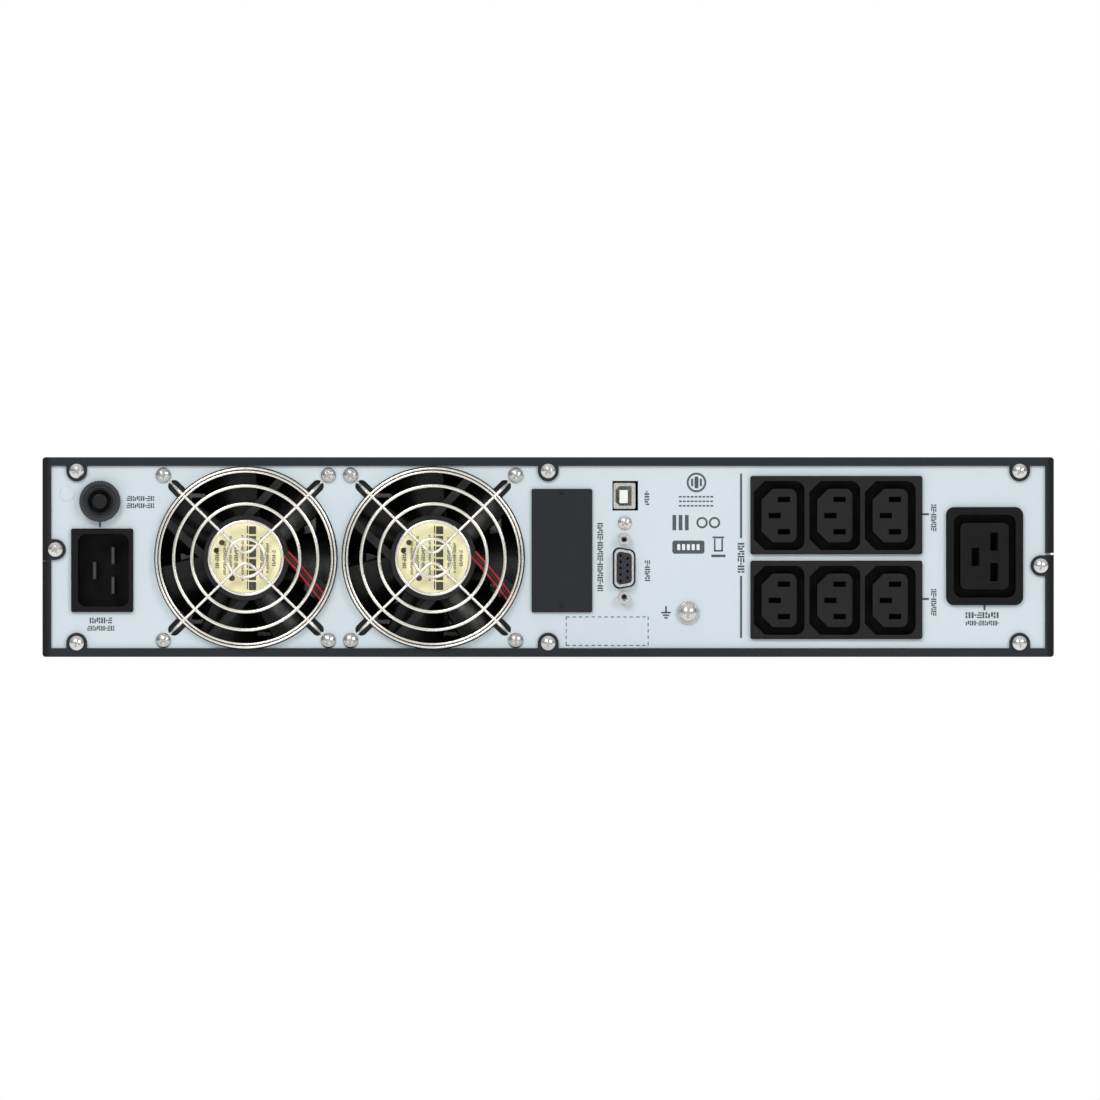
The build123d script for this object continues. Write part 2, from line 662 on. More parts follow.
impeller_blade = fan_blade()
for side, fan_x in zip(("left", "right"), FAN_X):
    save(fan_frame(fan_x), f"fan_frame_{side}")
    save(fan_rotor(fan_x, impeller_blade), f"fan_rotor_{side}")
    save(fan_guard(fan_x), f"fan_guard_{side}")

STATOR_Y = (-290.0, -280.0)
STATOR_RADIUS = 13.5
POLE_GAP = (6.0, 3.4)
POLE_GAP_RADIUS = 11.0

with BuildPart() as fan_stators:
    with BuildSketch(rear_plane(STATOR_Y[0])):
        with Locations(*FAN_CENTRES):
            Circle(STATOR_RADIUS)
        for x, z in FAN_CENTRES:
            with Locations((x, z)):
                with PolarLocations(POLE_GAP_RADIUS, 4, start_angle=45):
                    Rectangle(*POLE_GAP, mode=Mode.SUBTRACT)
                Circle(TUBE_RADIUS, mode=Mode.SUBTRACT)
    extrude(amount=STATOR_Y[0] - STATOR_Y[1])
save(fan_stators, "fan_stators")

fan_screw = domed_screw(3.3, 2.1, 2.0, 12.0)
fan_screws = screw_group(fan_screw, FAN_SCREW_SPOTS, PANEL_Y, first_turn=45)
save(fan_screws, "fan_screws")

LEAD_END_Y = -252.0
BOARD_TOP_Z = 10.6


def fan_lead(x, offset):
    """One fan wire: from the hub along its arm, through the frame's corner, then down to the main board."""
    heading = atan2(LEAD_ENTRY[1] - LEAD_START[1], LEAD_ENTRY[0] - LEAD_START[0])
    shift = (-offset * sin(heading), offset * cos(heading))
    places = [(x + a + shift[0], FAN_Z + b + shift[1]) for a, b in (LEAD_START, LEAD_ENTRY, LEAD_EXIT)]
    last_x, last_z = places[-1]
    end_y = LEAD_END_Y + 3 * offset
    points = [(a, LEAD_Y, b) for a, b in places]
    points += [(last_x, end_y, last_z), (last_x, end_y, BOARD_TOP_Z)]
    return wire(points, [3.0, 0.9, 5.0], LEAD_RADIUS)


with BuildPart() as fan_leads:
    for x in FAN_X:
        for offset in LEAD_OFFSETS:
            add(fan_lead(x, offset))
save(fan_leads, "fan_leads")


# ---------------------------------------------------------------- expansion slot

with BuildPart() as slot_cover:
    with BuildSketch(rear_plane(PANEL_Y)):
        with Locations((sum(SLOT_COVER_X) / 2, sum(SLOT_COVER_Z) / 2)):
            RectangleRounded(SLOT_COVER_X[1] - SLOT_COVER_X[0], SLOT_COVER_Z[1] - SLOT_COVER_Z[0], 0.8)
        with Locations(*SLOT_SCREW_SPOTS):
            Circle(SLOT_HOLE_RADIUS, mode=Mode.SUBTRACT)
    extrude(amount=SHEET)
save(slot_cover, "slot_cover")

slot_screw = flush_screw(SLOT_HOLE_RADIUS - 0.1, 6.0)
slot_screws = screw_group(slot_screw, SLOT_SCREW_SPOTS, PANEL_Y - SHEET - 0.2)
save(slot_screws, "slot_screws")

CAGE_X = (-8.0, 19.6)
CAGE_Z = (25.6, 66.9)
CAGE_END_Y = -180.0
CAGE_WALL = 1.0

with BuildPart() as card_cage:
    span_box((CAGE_X[0], PANEL_BACK_Y, CAGE_Z[0]), (CAGE_X[1], CAGE_END_Y, CAGE_Z[1]))
    span_box(
        (CAGE_X[0] + CAGE_WALL, PANEL_BACK_Y, CAGE_Z[0] + CAGE_WALL),
        (CAGE_X[1] - CAGE_WALL, CAGE_END_Y, CAGE_Z[1] - CAGE_WALL),
        mode=Mode.SUBTRACT,
    )
save(card_cage, "card_cage")


# ---------------------------------------------------------------- communication ports

BOARD_SIDE_X = 39.6  # the port board stands on edge to the right of the ports
BOARD_THICKNESS = 1.6
USB_SHELL_Y = (PANEL_Y - 0.6, -283.8)
USB_BACK_WALL = 1.0
USB_TONGUE_Y = (-298.4, -290.6)
USB_TONGUE_X = (30.9, 34.5)
USB_TONGUE_Z = (66.6, 72.3)
SERIAL_FACE_Y = PANEL_Y - 4.0
SERIAL_INSERT_Y = PANEL_Y - 3.6
SERIAL_HOUSING_X = 28.2
SERIAL_HOUSING_Z = (29.0, 48.0)
SERIAL_BACK_Y = -288.0
SERIAL_PITCH = 2.77
SERIAL_ROWS = ((-1.55, 5), (1.55, 4))
SERIAL_HOLE_RADIUS = 0.6


def usb_mouth(start, end):
    """The mouth's D shape as a solid between two depths, its two left corners cut off."""
    width, height = USB_MOUTH_SIZE
    cut = 0.24 * width
    points = [(-width / 2, height / 2 - cut), (cut - width / 2, height / 2), (width / 2, height / 2)]
    with BuildPart() as solid:
        with BuildSketch(rear_plane(start)):
            with BuildLine():
                Polyline(*points, *[(x, -z) for x, z in reversed(points)], close=True)
            make_face()
        extrude(amount=start - end)
    return solid.part.moved(Location((USB_MOUTH_CENTRE[0], 0, USB_MOUTH_CENTRE[1])))


usb_cavity = usb_mouth(USB_SHELL_Y[0], USB_SHELL_Y[1] - USB_BACK_WALL)
usb_block = usb_mouth(USB_TONGUE_Y[1], USB_SHELL_Y[1] - USB_BACK_WALL)

with BuildPart() as usb_shell:
    with BuildSketch(rear_plane(USB_SHELL_Y[0])):
        with Locations(USB_CENTRE):
            RectangleRounded(*USB_SIZE, 0.6)
    extrude(amount=USB_SHELL_Y[0] - USB_SHELL_Y[1])
    add(usb_cavity, mode=Mode.SUBTRACT)
save(usb_shell, "usb_shell")

with BuildPart() as usb_insert:
    add(usb_block)
    span_box(
        (USB_TONGUE_X[0], USB_TONGUE_Y[0], USB_TONGUE_Z[0]),
        (USB_TONGUE_X[1], USB_TONGUE_Y[1], USB_TONGUE_Z[1]),
    )
save(usb_insert, "usb_insert")

port_screw = screw_group(domed_screw(3.0, 2.0, 1.45, 8.0), [PORT_SCREW], PANEL_Y, first_turn=35)
save(port_screw, "port_screw")

with BuildPart() as serial_shell:
    with BuildSketch(rear_plane(SERIAL_FACE_Y)):
        d_outline(SERIAL_SHELL, 2.4)
    extrude(amount=SERIAL_FACE_Y - PANEL_BACK_Y)
    with BuildSketch(rear_plane(SERIAL_FACE_Y)):
        d_outline((SERIAL_INSERT[0] + 0.2, SERIAL_INSERT[1] + 0.2), 1.8)
    extrude(amount=SERIAL_FACE_Y - PANEL_BACK_Y, mode=Mode.SUBTRACT)
save(serial_shell, "serial_shell")

with BuildPart() as serial_insert:
    with BuildSketch(rear_plane(SERIAL_INSERT_Y)):
        d_outline(SERIAL_INSERT, 1.7)
    extrude(amount=SERIAL_INSERT_Y - PANEL_BACK_Y)
    span_box(
        (SERIAL_HOUSING_X, PANEL_BACK_Y, SERIAL_HOUSING_Z[0]),
        (BOARD_SIDE_X, SERIAL_BACK_Y, SERIAL_HOUSING_Z[1]),
    )
    with BuildSketch(rear_plane(SERIAL_INSERT_Y)):
        for row_x, count in SERIAL_ROWS:
            with Locations((SERIAL_CENTRE[0] + row_x, SERIAL_CENTRE[1])):
                with GridLocations(1, SERIAL_PITCH, 1, count):
                    Circle(SERIAL_HOLE_RADIUS)
    extrude(amount=-7.0, mode=Mode.SUBTRACT)
save(serial_insert, "serial_insert")

JACK_THREAD_RADIUS = 1.3
JACK_LENGTH = 4.5
JACK_HEX_RADIUS = 2.9
JACK_SHANK = (1.5, 4.0)  # radius and length
JACK_THREAD_LENGTH = 6.5

with BuildPart() as serial_jack_nuts:
    with BuildSketch(rear_plane(PANEL_Y)):
        with Locations(*JACK_SPOTS):
            RegularPolygon(JACK_HEX_RADIUS, 6)
    extrude(amount=JACK_LENGTH)
    chamfer(serial_jack_nuts.faces().group_by(Axis.Y)[0].edges(), 0.35)
    with BuildSketch(rear_plane(PANEL_Y)):
        with Locations(*JACK_SPOTS):
            Circle(JACK_SHANK[0])
    extrude(amount=-JACK_SHANK[1])
    with BuildSketch(rear_plane(PANEL_Y - JACK_LENGTH)):
        with Locations(*JACK_SPOTS):
            Circle(JACK_THREAD_RADIUS)
    extrude(amount=-JACK_THREAD_LENGTH, mode=Mode.SUBTRACT)
save(serial_jack_nuts, "serial_jack_nuts")

CHIPS = (((-262.0, -248.0), (30.0, 44.0)), ((-240.0, -230.0), (50.0, 60.0)))  # ranges in y and z
CHIP_HEIGHT = 2.4

with BuildPart() as port_board:
    chip_x = BOARD_SIDE_X + BOARD_THICKNESS
    span_box((BOARD_SIDE_X, -296.0, 20.0), (chip_x, -215.0, 78.0))
    for chip_y, chip_z in CHIPS:
        span_box((chip_x, chip_y[0], chip_z[0]), (chip_x + CHIP_HEIGHT, chip_y[1], chip_z[1]))
save(port_board, "port_board")

WASHER_RADIUS = 4.95
WASHER_THICKNESS = 1.0

with BuildPart() as ground_screw:
    add(domed_screw(4.25, 3.4, SCREW_SHANK_RADIUS, 10.0))
    with BuildSketch(rear_plane(0)):
        Circle(WASHER_RADIUS)
    extrude(amount=WASHER_THICKNESS)
ground_screw.part.locate(Location((GROUND_SCREW[0], PANEL_Y, GROUND_SCREW[1])))
save(ground_screw, "ground_screw")


# ---------------------------------------------------------------- outlets

GROOVE_DEPTH = 13.0
OUTLET_BODY_DEPTH = 22.0
CORNER_CUT = 4.8
C13_GROOVE = (22.0, 29.9)
C13_CORE = (15.2, 23.1)
C13_GROOVE_CORNER = 4.0
C13_CORE_CORNER = 3.0
CUT_CORNER = 0.8
C13_SLOT = (5.3, 2.4)
C13_SLOTS = ((2.1, 7.0), (2.1, -7.0), (-1.9, 0.0))
C19_GROOVE = (26.8, 35.9)
C19_CORE = (21.0, 28.8)
C19_SLOT = (3.4, 7.9)
C19_SLOTS = ((4.1, 6.3), (4.1, -6.9), (-4.0, -0.3))
CONTACT_WALL = 0.5
CONTACT_RECESS = 8.0
CONTACT_LENGTH = 12.0
CONTACT_TAIL = 14.0
TAIL_THICKNESS = 0.8


def c13_outline(width, height, corner, centre):
    """Rectangle with its left corners cut and its right corners rounded, in the sketch being drawn."""
    with BuildSketch(mode=Mode.PRIVATE) as outline:
        Rectangle(width, height)
        chamfer(outline.vertices().group_by(Axis.X)[0], CORNER_CUT)
        fillet(outline.vertices().group_by(Axis.X)[-1], corner)
        fillet(outline.vertices().filter_by_position(Axis.X, -width, 0), CUT_CORNER)
    with Locations(centre):
        add(outline.sketch)


def slot_spots(centre, offsets):
    """Places of one outlet's three contact slots."""
    return [(centre[0] + dx, centre[1] + dz) for dx, dz in offsets]


def contact_clips(spots, size, along_x):
    """Spring contacts: two leaves against the slot's long sides, joined at the back, with a tail."""
    width, height = size
    start = SOCKET_FACE_Y + CONTACT_RECESS
    with BuildPart() as clips:
        with BuildSketch(rear_plane(start)):
            for spot in spots:
                with Locations(spot):
                    Rectangle(width, height)
                    gap = (width, height - 2 * CONTACT_WALL) if along_x else (width - 2 * CONTACT_WALL, height)
                    Rectangle(*gap, mode=Mode.SUBTRACT)
        extrude(amount=-CONTACT_LENGTH)
        with BuildSketch(rear_plane(start + CONTACT_LENGTH)):
            with Locations(*spots):
                Rectangle(width, height)
        extrude(amount=-CONTACT_WALL)
        with BuildSketch(rear_plane(start + CONTACT_LENGTH + CONTACT_WALL)):
            with Locations(*spots):
                Rectangle(*((width, TAIL_THICKNESS) if along_x else (TAIL_THICKNESS, height)))
        extrude(amount=-CONTACT_TAIL)
    return clips


def outlet_body(centre, flange, body, spots, size):
    """Snap-in outlet housing before its grooves are cut: flange, body and contact slots."""
    with BuildPart() as housing:
        with BuildSketch(rear_plane(PANEL_Y)):
            with Locations(centre):
                RectangleRounded(*flange, 1.0 if flange[0] > flange[1] else 3.5)
        extrude(amount=SOCKET_PROUD)
        chamfer(housing.faces().sort_by(Axis.Y)[0].edges(), 0.4)
        with BuildSketch(rear_plane(PANEL_Y)):
            with Locations(centre):
                Rectangle(*body)
        extrude(amount=-OUTLET_BODY_DEPTH)
        with BuildSketch(rear_plane(SOCKET_FACE_Y)):
            with Locations(*spots):
                Rectangle(*size)
        extrude(amount=-(OUTLET_BODY_DEPTH + SOCKET_PROUD), mode=Mode.SUBTRACT)
    return housing.part


C13_CENTRES = {name: [(x, z - OUTLET_DROP) for x in OUTLET_X] for name, z in BLOCK_Z.items()}
C13_SPOTS = {name: [s for c in row for s in slot_spots(c, C13_SLOTS)] for name, row in C13_CENTRES.items()}

for name, row in C13_CENTRES.items():
    block_centre = (BLOCK_CENTRE_X, BLOCK_Z[name])
    plain_block = outlet_body(block_centre, BLOCK_SIZE, BLOCK_BODY, C13_SPOTS[name], C13_SLOT)
    with BuildPart() as outlet_block:
        add(plain_block)
        with BuildSketch(rear_plane(SOCKET_FACE_Y)) as grooves:
            for centre in row:
                c13_outline(*C13_GROOVE, C13_GROOVE_CORNER, centre)
            with BuildSketch(mode=Mode.PRIVATE) as cores:
                for centre in row:
                    c13_outline(*C13_CORE, C13_CORE_CORNER, centre)
            add(cores.sketch, mode=Mode.SUBTRACT)
        extrude(amount=-GROOVE_DEPTH, mode=Mode.SUBTRACT)
    save(outlet_block, f"outlet_block_{name}")

outlet_contacts = contact_clips(C13_SPOTS["lower"] + C13_SPOTS["upper"], C13_SLOT, along_x=True)
save(outlet_contacts, "outlet_contacts")

HIGH_SPOTS = slot_spots(HIGH_OUTLET_CENTRE, C19_SLOTS)
plain_high_outlet = outlet_body(HIGH_OUTLET_CENTRE, HIGH_OUTLET_SIZE, HIGH_OUTLET_BODY, HIGH_SPOTS, C19_SLOT)
with BuildPart() as high_current_outlet:
    add(plain_high_outlet)
    with BuildSketch(rear_plane(SOCKET_FACE_Y)):
        with Locations(HIGH_OUTLET_CENTRE):
            RectangleRounded(*C19_GROOVE, 3.5)
            RectangleRounded(*C19_CORE, 2.5, mode=Mode.SUBTRACT)
    extrude(amount=-GROOVE_DEPTH, mode=Mode.SUBTRACT)
save(high_current_outlet, "high_current_outlet")

high_current_contacts = contact_clips(HIGH_SPOTS, C19_SLOT, along_x=False)
save(high_current_contacts, "high_current_contacts")


# ---------------------------------------------------------------- power electronics

BOARD_LOW = (-206.0, -262.0, 9.0)
BOARD_HIGH = (206.0, -68.0, BOARD_TOP_Z)
STANDOFF_SPOTS = [(x, y) for x in (-196, -65, 65, 196) for y in (-250, -80)]
SINK_X = (-158.0, -104.0, -77.0, -23.0)
SINK_Y = (-245.0, -95.0)
FIN_COUNT = 7

with BuildPart() as main_board:
    span_box(BOARD_LOW, BOARD_HIGH)
save(main_board, "main_board")

with BuildPart() as board_standoffs:
    with BuildSketch(Plane.XY.offset(SHEET)):
        with Locations(*STANDOFF_SPOTS):
            RegularPolygon(3.2, 6)
    extrude(amount=BOARD_LOW[2] - SHEET)
save(board_standoffs, "board_standoffs")


def heat_sink(x, side):
    """Upright finned extrusion, its fins pointing to the given side."""
    with BuildPart() as sink:
        span_box((x - 2.5, SINK_Y[0], BOARD_TOP_Z), (x + 2.5, SINK_Y[1], 72.0))
        for index in range(FIN_COUNT):
            low = 14.0 + index * 9.2
            ends = sorted((x, x + side * 20.0))
            span_box((ends[0], SINK_Y[0], low), (ends[1], SINK_Y[1], low + 1.8))
    return sink.part


SINK_SIDES = (1, -1, 1, -1)
with BuildPart() as heat_sinks:
    for x, side in zip(SINK_X, SINK_SIDES):
        add(heat_sink(x, side))
save(heat_sinks, "heat_sinks")

with BuildPart() as power_transistors:
    for x, side in zip(SINK_X, SINK_SIDES):
        for y in (-220.0, -180.0, -140.0):
            near = x - side * 2.5
            far = near - side * 5.0
            middle = (near + far) / 2
            span_box((min(near, far), y - 8.0, 24.0), (max(near, far), y + 8.0, 45.0))
            for leg in (-5.4, 0, 5.4):
                span_box((middle - 0.4, y + leg - 0.6, BOARD_TOP_Z), (middle + 0.4, y + leg + 0.6, 24.0))
save(power_transistors, "power_transistors")

with BuildPart() as bus_capacitors:
    with BuildSketch(Plane.XY.offset(BOARD_TOP_Z)):
        with Locations((150.0, -212.0)):
            with GridLocations(34.0, 34.0, 3, 2):
                Circle(15.0)
    extrude(amount=50.0)
    chamfer(bus_capacitors.faces().group_by(Axis.Z)[-1].edges(), 1.2)
save(bus_capacitors, "bus_capacitors")

CHOKE_SPOTS = ((70.0, -120.0), (125.0, -120.0), (180.0, -120.0))
CHOKE_OUTER = 22.0
CHOKE_INNER = 12.0
CHOKE_HEIGHT = 18.0
WINDING = 2.5
CHOKE_Z = BOARD_TOP_Z + WINDING + CHOKE_HEIGHT / 2

with BuildPart() as choke_cores:
    with BuildSketch(Plane.XY.offset(CHOKE_Z - CHOKE_HEIGHT / 2)):
        for spot in CHOKE_SPOTS:
            with Locations(spot):
                Circle(CHOKE_OUTER)
                Circle(CHOKE_INNER, mode=Mode.SUBTRACT)
    extrude(amount=CHOKE_HEIGHT)
save(choke_cores, "choke_cores")


def choke_winding():
    """Copper wound round a ring core on the Z axis, open over sixty degrees."""
    ring_middle = (CHOKE_OUTER + CHOKE_INNER) / 2
    ring_width = CHOKE_OUTER - CHOKE_INNER
    with BuildPart() as winding:
        with BuildSketch(Plane.XZ):
            with Locations((ring_middle, 0)):
                RectangleRounded(ring_width + 2 * WINDING, CHOKE_HEIGHT + 2 * WINDING, 2.0)
                Rectangle(ring_width, CHOKE_HEIGHT, mode=Mode.SUBTRACT)
        revolve(axis=Axis.Z, revolution_arc=300)
    return winding.part


winding = choke_winding()
with BuildPart() as choke_windings:
    with Locations(*[(x, y, CHOKE_Z) for x, y in CHOKE_SPOTS]):
        add(winding)
save(choke_windings, "choke_windings")

TRANSFORMER_CENTRE = (72.0, -190.0)
TRANSFORMER_LAYERS = (  # width, depth and height of the foot, core, coil and upper core
    (36.0, 40.0, 7.4),
    (44.0, 32.0, 8.0),
    (28.0, 36.0, 20.0),
    (44.0, 32.0, 8.0),
)

with BuildPart() as transformer:
    level = BOARD_TOP_Z
    for width, depth, height in TRANSFORMER_LAYERS:
        with BuildSketch(Plane.XY.offset(level)):
            with Locations(TRANSFORMER_CENTRE):
                RectangleRounded(width, depth, 1.5)
        extrude(amount=height)
        level += height
save(transformer, "transformer")


def drop_wire(x, z, start_y, end_y):
    """Wire from a terminal at (x, z), forwards and then down to the main board."""
    return wire([(x, start_y, z), (x, end_y, z), (x, end_y, BOARD_TOP_Z)], [7.0], WIRE_RADIUS)


INLET_TAIL_Y = PANEL_Y + INLET_DEPTH + PIN_TAIL
CONTACT_TAIL_Y = SOCKET_FACE_Y + CONTACT_RECESS + CONTACT_LENGTH + CONTACT_WALL + CONTACT_TAIL
WIRE_RADIUS = 1.6
WIRE_RUN = 9.5  # length of the first wire before it turns down
WIRE_STEP = 5.0  # each next wire goes this much further

with BuildPart() as mains_wiring:
    for index, (x, z) in enumerate(INLET_PINS):
        add(drop_wire(x, z, INLET_TAIL_Y, INLET_TAIL_Y + WIRE_RUN + WIRE_STEP * index))
    for index, (x, z) in enumerate(HIGH_SPOTS):
        add(drop_wire(x, z, CONTACT_TAIL_Y, CONTACT_TAIL_Y + WIRE_RUN + WIRE_STEP * index))
save(mains_wiring, "mains_wiring")


# ---------------------------------------------------------------- battery drawer

DRAWER_SHEET = 1.2
DRAWER_SIDE_Z = 44.0
DRAWER_FRONT_Z = 71.0
PLUG_X = (40.0, 76.0)
PLUG_Z = (12.0, 26.0)
PLUG_REACH = 14.0
PLUG_GAP = 0.5

with BuildPart() as battery_tray:
    span_box((DRAWER_X[0], DRAWER_Y[0], DRAWER_Z), (DRAWER_X[1], DRAWER_Y[1], DRAWER_SIDE_Z))
    span_box((DRAWER_X[0], DRAWER_Y[1] - DRAWER_SHEET, DRAWER_Z), (DRAWER_X[1], DRAWER_Y[1], DRAWER_FRONT_Z))
    span_box(
        (DRAWER_X[0] + DRAWER_SHEET, DRAWER_Y[0] + DRAWER_SHEET, DRAWER_Z + DRAWER_SHEET),
        (DRAWER_X[1] - DRAWER_SHEET, DRAWER_Y[1] - DRAWER_SHEET, CASE_HEIGHT),
        mode=Mode.SUBTRACT,
    )
save(battery_tray, "battery_tray")

with BuildPart() as battery_blocks:
    with BuildSketch(Plane.XY.offset(DRAWER_Z + DRAWER_SHEET)):
        with Locations((sum(DRAWER_X) / 2, sum(DRAWER_Y) / 2)):
            with GridLocations(*BATTERY_PITCH, 3, 2):
                RectangleRounded(BATTERY_SIZE[0], BATTERY_SIZE[1], 2.0)
    extrude(amount=BATTERY_SIZE[2])
    with BuildSketch(Plane.XY.offset(DRAWER_Z + DRAWER_SHEET + BATTERY_SIZE[2])):
        with Locations((sum(DRAWER_X) / 2, sum(DRAWER_Y) / 2)):
            with GridLocations(*BATTERY_PITCH, 3, 2):
                with Locations((30.0, 0)):
                    Rectangle(0.8, BATTERY_SIZE[1])
    extrude(amount=-0.6, mode=Mode.SUBTRACT)
save(battery_blocks, "battery_blocks")

with BuildPart() as battery_plug:
    span_box((PLUG_X[0], DRAWER_Y[0] - PLUG_REACH, PLUG_Z[0]), (PLUG_X[1], DRAWER_Y[0], PLUG_Z[1]))
save(battery_plug, "battery_plug")

SOCKET_WALL = 2.5
with BuildPart() as battery_socket:
    span_box(
        (PLUG_X[0] - SOCKET_WALL - PLUG_GAP, DRAWER_Y[0] - PLUG_REACH - 4.0, SHEET),
        (PLUG_X[1] + SOCKET_WALL + PLUG_GAP, DRAWER_Y[0] - 2.0, PLUG_Z[1] + SOCKET_WALL + PLUG_GAP),
    )
    span_box(
        (PLUG_X[0] - PLUG_GAP, DRAWER_Y[0] - PLUG_REACH - PLUG_GAP, PLUG_Z[0] - PLUG_GAP),
        (PLUG_X[1] + PLUG_GAP, DRAWER_Y[0], PLUG_Z[1] + PLUG_GAP),
        mode=Mode.SUBTRACT,
    )
save(battery_socket, "battery_socket")

BULKHEAD_Y = 258.8
SLIDE_GAP = 0.4
GUIDE_Y_RANGE = (-42.0, BULKHEAD_Y)
GUIDE_HEIGHT = 40.0

with BuildPart() as battery_guides:
    for x, foot in ((DRAWER_X[0] - SLIDE_GAP - 1.0, -6.0), (DRAWER_X[1] + SLIDE_GAP, 10.0)):
        ends = sorted((x, x + foot))
        span_box((x, GUIDE_Y_RANGE[0], SHEET), (x + 1.0, GUIDE_Y_RANGE[1], GUIDE_HEIGHT))
        span_box((ends[0], GUIDE_Y_RANGE[0], SHEET), (ends[1], GUIDE_Y_RANGE[1], SHEET + 1.0))
save(battery_guides, "battery_guides")

with BuildPart() as front_bulkhead:
    span_box((-217.4, BULKHEAD_Y, 1.4), (217.4, BULKHEAD_Y + SHEET, 85.1))
    span_box((DRAWER_X[0] - 0.6, 0, 0), (DRAWER_X[1] + 0.6, CASE_FRONT_Y, 74.0), mode=Mode.SUBTRACT)
    with BuildSketch(rear_plane(BULKHEAD_Y)):
        with Locations((150.0, CASE_HEIGHT / 2)):
            with GridLocations(9.0, 9.0, 12, 7):
                RegularPolygon(3.6, 6)
    extrude(amount=-SHEET, mode=Mode.SUBTRACT)
save(front_bulkhead, "front_bulkhead")


# ---------------------------------------------------------------- front

DOOR_BACK_Y = CASE_FRONT_Y + 0.4
DOOR_EDGE_RADIUS = 3.0
PULL_X = (62.0, 80.0)
PULL_Z = (20.0, 66.0)
PULL_DEPTH = 15.0
POST_SPOTS = [(x, z) for x in (-195.0, 55.0) for z in (14.0, 62.0)]
LOUVRE_ROWS = 11
LOUVRE_HEIGHT = 3.0


def front_shell(x_range, back_y):
    """Open-backed plastic front over part of the case's width, with rounded front edges."""
    middle = (sum(x_range) / 2, sum(FRONT_Z) / 2)
    width = x_range[1] - x_range[0]
    height = FRONT_Z[1] - FRONT_Z[0]
    with BuildPart() as shell:
        with BuildSketch(rear_plane(back_y)):
            with Locations(middle):
                Rectangle(width, height)
        extrude(amount=back_y - FRONT_Y)
        fillet(shell.faces().sort_by(Axis.Y)[-1].edges(), DOOR_EDGE_RADIUS)
        with BuildSketch(rear_plane(back_y)):
            with Locations(middle):
                Rectangle(width - 2 * FRONT_WALL, height - 2 * FRONT_WALL)
        extrude(amount=back_y - FRONT_Y + FRONT_WALL, mode=Mode.SUBTRACT)
    return shell.part


plain_door = front_shell(DOOR_X, DOOR_BACK_Y)
with BuildPart() as battery_door:
    add(plain_door)
    with BuildSketch(rear_plane(FRONT_Y)):
        with Locations((-76.0, CASE_HEIGHT / 2)):
            with GridLocations(64.0, LOUVRE_PITCH, 4, LOUVRE_ROWS):
                Rectangle(58.0, LOUVRE_HEIGHT)
    extrude(amount=FRONT_WALL, mode=Mode.SUBTRACT)
    span_box(
        (PULL_X[0] - 2, FRONT_Y - PULL_DEPTH - 2, PULL_Z[0] - 2),
        (PULL_X[1] + 2, FRONT_Y - FRONT_WALL, PULL_Z[1] + 2),
    )
    span_box((PULL_X[0], FRONT_Y - PULL_DEPTH, PULL_Z[0]), (PULL_X[1], FRONT_Y, PULL_Z[1]), mode=Mode.SUBTRACT)
    with BuildSketch(rear_plane(DRAWER_Y[1])):
        with Locations(*POST_SPOTS):
            Circle(4.0)
    extrude(amount=DRAWER_Y[1] - FRONT_Y + FRONT_WALL)
save(battery_door, "battery_door")

WEB_Y = (276.0, 278.5)
SPIGOT_RADIUS = 12.0

plain_bezel = front_shell(BEZEL_X, CASE_FRONT_Y)
with BuildPart() as front_bezel:
    add(plain_bezel)
    with BuildSketch(rear_plane(FRONT_Y)):
        with Locations((103.0, CASE_HEIGHT / 2), (205.0, CASE_HEIGHT / 2)):
            with GridLocations(1, LOUVRE_PITCH, 1, LOUVRE_ROWS):
                Rectangle(14.0, LOUVRE_HEIGHT)
        with Locations(DISPLAY_CENTRE):
            Circle(DISPLAY_RADIUS + 0.5)
    extrude(amount=FRONT_WALL, mode=Mode.SUBTRACT)
    span_box((137.0, WEB_Y[0], FRONT_Z[0] + 1), (171.0, WEB_Y[1], FRONT_Z[1] - 1))
    with BuildSketch(rear_plane(WEB_Y[0])):
        with Locations(DISPLAY_CENTRE):
            Circle(SPIGOT_RADIUS + RUNNING_FIT)
    extrude(amount=WEB_Y[0] - WEB_Y[1], mode=Mode.SUBTRACT)
save(front_bezel, "front_bezel")

HOUSING_BACK_Y = 281.0
HOUSING_WALL = 2.0
WINDOW_SIZE = (48.0, 26.0)
WINDOW_RISE = 7.0
WINDOW_CENTRE = (DISPLAY_CENTRE[0], DISPLAY_CENTRE[1] + WINDOW_RISE)
LAMP_SPOTS = [(DISPLAY_CENTRE[0] + dx, DISPLAY_CENTRE[1] + 25.0) for dx in (-8.0, 0.0, 8.0)]
BUTTON_SPOTS = [
    (DISPLAY_CENTRE[0] + (index - 1.5) * BUTTON_PITCH, DISPLAY_CENTRE[1] - BUTTON_DROP) for index in range(4)
]
BUTTON_GAP = 0.3
FACE_BACK_Y = DISPLAY_FACE_Y - HOUSING_WALL

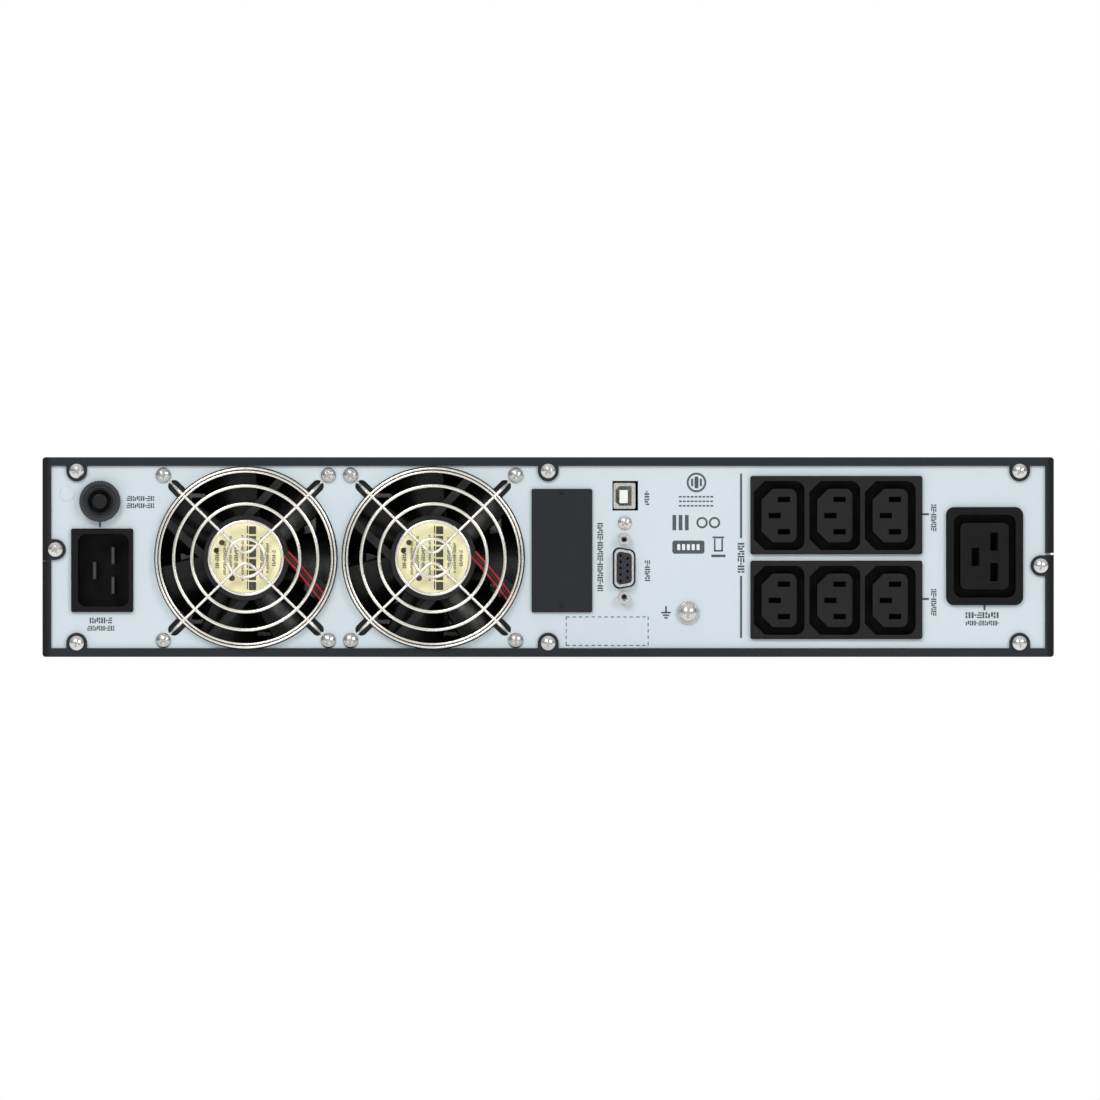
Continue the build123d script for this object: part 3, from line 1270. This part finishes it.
with BuildPart() as display_housing:
    with BuildSketch(rear_plane(HOUSING_BACK_Y)):
        with Locations(DISPLAY_CENTRE):
            Circle(DISPLAY_RADIUS)
    extrude(amount=HOUSING_BACK_Y - DISPLAY_FACE_Y)
    fillet(display_housing.edges().sort_by(Axis.Y)[-1], 1.2)
    with BuildSketch(rear_plane(HOUSING_BACK_Y + HOUSING_WALL)):
        with Locations(DISPLAY_CENTRE):
            Circle(DISPLAY_RADIUS - HOUSING_WALL)
    extrude(amount=HOUSING_BACK_Y + HOUSING_WALL - FACE_BACK_Y, mode=Mode.SUBTRACT)
    with BuildSketch(rear_plane(FACE_BACK_Y)):
        with Locations(WINDOW_CENTRE):
            Rectangle(*WINDOW_SIZE)
        with Locations(*BUTTON_SPOTS):
            Rectangle(BUTTON_SIZE[0] + 2 * BUTTON_GAP, BUTTON_SIZE[1] + 2 * BUTTON_GAP)
        with Locations(*LAMP_SPOTS):
            Circle(1.25)
    extrude(amount=-HOUSING_WALL, mode=Mode.SUBTRACT)
    with BuildSketch(rear_plane(HOUSING_BACK_Y)):
        with Locations(DISPLAY_CENTRE):
            Circle(SPIGOT_RADIUS)
    extrude(amount=7.0)
    with BuildSketch(rear_plane(HOUSING_BACK_Y - 7.0)):
        with Locations(DISPLAY_CENTRE):
            Circle(8.0)
    extrude(amount=-(7.0 + HOUSING_WALL), mode=Mode.SUBTRACT)
save(display_housing, "display_housing")

with BuildPart() as display_window:
    with BuildSketch(rear_plane(FACE_BACK_Y)):
        with Locations(WINDOW_CENTRE):
            Rectangle(WINDOW_SIZE[0] - 0.2, WINDOW_SIZE[1] - 0.2)
    extrude(amount=0.3 - HOUSING_WALL)
save(display_window, "display_window")

PCB_Y = (288.6, 290.2)
SWITCH_TOP_Y = 293.8

with BuildPart() as display_board:
    with BuildSketch(rear_plane(PCB_Y[0])):
        with Locations(DISPLAY_CENTRE):
            Circle(DISPLAY_RADIUS - HOUSING_WALL - 1.0)
    extrude(amount=PCB_Y[0] - PCB_Y[1])
    with BuildSketch(rear_plane(PCB_Y[1])):
        with Locations(*BUTTON_SPOTS):
            Rectangle(6.0, 4.0)
    extrude(amount=PCB_Y[1] - SWITCH_TOP_Y)
save(display_board, "display_board")

with BuildPart() as lcd_panel:
    with BuildSketch(rear_plane(PCB_Y[1])):
        with Locations(WINDOW_CENTRE):
            Rectangle(WINDOW_SIZE[0] + 4.0, WINDOW_SIZE[1] + 3.0)
    extrude(amount=PCB_Y[1] - 297.0)
save(lcd_panel, "lcd_panel")

BUTTON_FLANGE_Y = (FACE_BACK_Y - 1.5, FACE_BACK_Y - 0.3)
BUTTON_TOP_Y = DISPLAY_FACE_Y + 1.4


def display_button(spot):
    """Front button: cap, the flange that keeps it in, and the stem that works its switch."""
    with BuildPart() as button:
        with BuildSketch(rear_plane(BUTTON_FLANGE_Y[0])):
            with Locations(spot):
                Rectangle(*BUTTON_SIZE)
        extrude(amount=BUTTON_FLANGE_Y[0] - BUTTON_TOP_Y)
        fillet(button.faces().sort_by(Axis.Y)[-1].edges(), 0.6)
        with BuildSketch(rear_plane(BUTTON_FLANGE_Y[0])):
            with Locations(spot):
                Rectangle(BUTTON_SIZE[0] + 1.8, BUTTON_SIZE[1] + 1.8)
        extrude(amount=BUTTON_FLANGE_Y[0] - BUTTON_FLANGE_Y[1])
        with BuildSketch(rear_plane(SWITCH_TOP_Y + 1.2)):
            with Locations(spot):
                Circle(1.5)
        extrude(amount=SWITCH_TOP_Y + 1.2 - BUTTON_FLANGE_Y[0])
    return button


for name, spot in zip(BUTTON_NAMES, BUTTON_SPOTS):
    save(display_button(spot), name)
